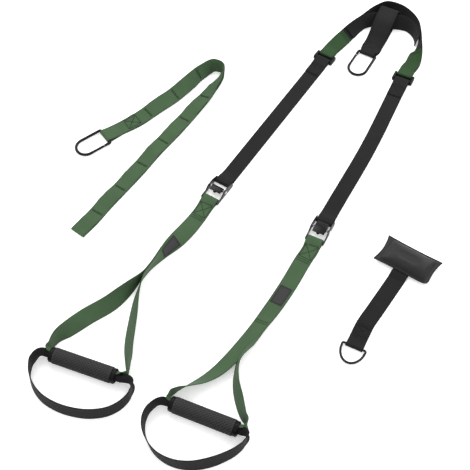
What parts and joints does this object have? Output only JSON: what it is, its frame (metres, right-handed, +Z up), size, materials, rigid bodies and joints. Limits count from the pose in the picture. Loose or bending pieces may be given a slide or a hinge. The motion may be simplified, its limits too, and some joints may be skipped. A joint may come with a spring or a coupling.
{
  "type": "suspension trainer",
  "caption": "Suspension trainer laid out flat: webbing legs with cam buckles, grips, foot loops and a carabiner, with an extension strap and a padded door anchor.",
  "frame": {"origin": "bottom centre of the bounding box of everything as it lies, on the floor plane", "axes": "+Z up from the floor, +Y from the handles towards the anchor carabiner, +X to the door anchor's side"},
  "size_m": [0.9016, 1.3862, 0.0388],
  "materials": {
    "black_webbing": "woven matt black polyester webbing",
    "green_webbing": "woven forest green polyester webbing with darker stitching",
    "black_steel": "black coated steel, satin",
    "dark_chrome": "dark chrome wire",
    "black_plastic": "moulded black plastic, satin",
    "grip_foam": "dark grey textured foam, matt",
    "pad_fabric": "smooth black fabric cover",
    "label_cloth": "bare dark grey woven label",
    "spring_steel": "bright spring wire and pins"
  },
  "bodies": {
    "equalizer": {"equalizer_band": "black_webbing", "equalizer_lining": "black_webbing", "anchor_strap": "black_webbing", "leg_strap_left": "black_webbing", "leg_strap_right": "black_webbing"},
    "anchor_carabiner": {"anchor_carabiner_body": "black_steel", "anchor_carabiner_pin": "spring_steel"},
    "anchor_gate": {"anchor_carabiner_gate": "black_steel"},
    "extension": {"extension_strap": "green_webbing"},
    "extension_carabiner": {"extension_carabiner_body": "black_steel", "extension_carabiner_pin": "spring_steel"},
    "extension_gate": {"extension_carabiner_gate": "black_steel"},
    "door_anchor": {"door_pad": "pad_fabric", "door_strap": "black_webbing"},
    "door_ring": {"door_ring": "dark_chrome"},
    "buckle_left": {"buckle_frame_left": "black_steel", "cam_pin_left": "spring_steel", "return_strap_left": "black_webbing"},
    "cam_left": {"cam_lever_left": "black_steel", "cam_spring_left": "spring_steel"},
    "slider_left": {"slider_left": "black_plastic", "pull_tab_left": "green_webbing"},
    "handle_left": {"handle_strap_left": "green_webbing", "handle_label_left": "label_cloth"},
    "grip_left": {"grip_foam_left": "grip_foam", "grip_core_left": "black_plastic", "grip_collar_near_left": "black_plastic", "grip_collar_far_left": "black_plastic"},
    "foot_loop_left": {"foot_loop_left": "black_webbing"},
    "buckle_right": {"buckle_frame_right": "black_steel", "cam_pin_right": "spring_steel", "return_strap_right": "black_webbing"},
    "cam_right": {"cam_lever_right": "black_steel", "cam_spring_right": "spring_steel"},
    "slider_right": {"slider_right": "black_plastic", "pull_tab_right": "green_webbing"},
    "handle_right": {"handle_strap_right": "green_webbing", "handle_label_right": "label_cloth"},
    "grip_right": {"grip_foam_right": "grip_foam", "grip_core_right": "black_plastic", "grip_collar_near_right": "black_plastic", "grip_collar_far_right": "black_plastic"},
    "foot_loop_right": {"foot_loop_right": "black_webbing"}
  },
  "joints": [
    {"name": "anchor_carabiner_swing", "type": "hinge", "parent": "equalizer", "child": "anchor_carabiner", "pos_m": [0.02824, 0.51574, 0.00587], "axis": [-1, 0, 0], "range_deg": [0, 90]},
    {"name": "anchor_gate_open", "type": "hinge", "parent": "anchor_carabiner", "child": "anchor_gate", "pos_m": [0.00464, 0.49725, 0.00533], "axis": [0, -0.0293, 0.9996], "range_deg": [0, 35], "stiffness_Nm_per_rad": 0.03, "springref_deg": -22.92},
    {"name": "extension_lift", "type": "slide", "parent": "equalizer", "child": "extension", "axis": [0, 0, 1], "range_m": [0, 0.15]},
    {"name": "extension_carabiner_swing", "type": "hinge", "parent": "extension", "child": "extension_carabiner", "pos_m": [-0.40076, -0.04876, 0.00587], "axis": [-0.9078, 0.4195, 0], "range_deg": [0, 90]},
    {"name": "extension_gate_open", "type": "hinge", "parent": "extension_carabiner", "child": "extension_gate", "pos_m": [-0.38709, -0.07544, 0.00533], "axis": [0.0123, 0.0266, -0.9996], "range_deg": [0, 35], "stiffness_Nm_per_rad": 0.03, "springref_deg": -22.92},
    {"name": "door_anchor_lift", "type": "slide", "parent": "equalizer", "child": "door_anchor", "axis": [0, 0, 1], "range_m": [0, 0.15]},
    {"name": "door_ring_swing", "type": "hinge", "parent": "door_anchor", "child": "door_ring", "pos_m": [0.37274, -0.26126, 0.00507], "axis": [-0.9981, -0.061, 0], "range_deg": [0, 90]},
    {"name": "leg_length_left", "type": "slide", "parent": "equalizer", "child": "buckle_left", "axis": [-0.0454, -0.999, 0], "range_m": [0, 0.36], "deforming": ["leg_strap_left", "return_strap_left"]},
    {"name": "tab_slide_left", "type": "slide", "parent": "buckle_left", "child": "slider_left", "axis": [-0.0454, -0.999, 0], "range_m": [0, 0.36], "deforming": ["pull_tab_left"]},
    {"name": "cam_press_left", "type": "hinge", "parent": "buckle_left", "child": "cam_left", "pos_m": [-0.08383, -0.05174, 0.01067], "axis": [0.999, -0.0454, 0], "range_deg": [0, 25], "stiffness_Nm_per_rad": 0.06, "springref_deg": -22.92, "deforming": ["cam_spring_left"]},
    {"name": "handle_swing_left", "type": "hinge", "parent": "buckle_left", "child": "handle_left", "pos_m": [-0.08515, -0.08071, 0.00547], "axis": [-0.999, 0.0454, 0], "range_deg": [0, 90]},
    {"name": "grip_spin_left", "type": "hinge", "parent": "handle_left", "child": "grip_left", "pos_m": [-0.09057, -0.58599, 0.01767], "axis": [0.986, 0.1668, 0], "continuous": true},
    {"name": "foot_loop_swing_left", "type": "hinge", "parent": "handle_left", "child": "foot_loop_left", "pos_m": [-0.09057, -0.58599, 0.01767], "axis": [-0.986, -0.1668, 0], "range_deg": [0, 80], "deforming": ["foot_loop_left"]},
    {"name": "leg_length_right", "type": "slide", "parent": "equalizer", "child": "buckle_right", "axis": [0.061, -0.9981, 0], "range_m": [0, 0.36], "deforming": ["leg_strap_right", "return_strap_right"]},
    {"name": "tab_slide_right", "type": "slide", "parent": "buckle_right", "child": "slider_right", "axis": [0.061, -0.9981, 0], "range_m": [0, 0.36], "deforming": ["pull_tab_right"]},
    {"name": "cam_press_right", "type": "hinge", "parent": "buckle_right", "child": "cam_right", "pos_m": [0.17513, -0.03269, 0.01067], "axis": [0.9981, 0.061, 0], "range_deg": [0, 25], "stiffness_Nm_per_rad": 0.06, "springref_deg": -22.92, "deforming": ["cam_spring_right"]},
    {"name": "handle_swing_right", "type": "hinge", "parent": "buckle_right", "child": "handle_right", "pos_m": [0.17689, -0.06164, 0.00547], "axis": [-0.9981, -0.061, 0], "range_deg": [0, 90]},
    {"name": "grip_spin_right", "type": "hinge", "parent": "handle_right", "child": "grip_right", "pos_m": [0.18372, -0.55815, 0.01767], "axis": [0.9914, 0.1305, 0], "continuous": true},
    {"name": "foot_loop_swing_right", "type": "hinge", "parent": "handle_right", "child": "foot_loop_right", "pos_m": [0.18372, -0.55815, 0.01767], "axis": [-0.9914, -0.1305, 0], "range_deg": [0, 80], "deforming": ["foot_loop_right"]}
  ],
  "couplings": [
    {"joint": "tab_slide_left", "follows": "leg_length_left", "ratio": 1},
    {"joint": "tab_slide_right", "follows": "leg_length_right", "ratio": 1}
  ]
}
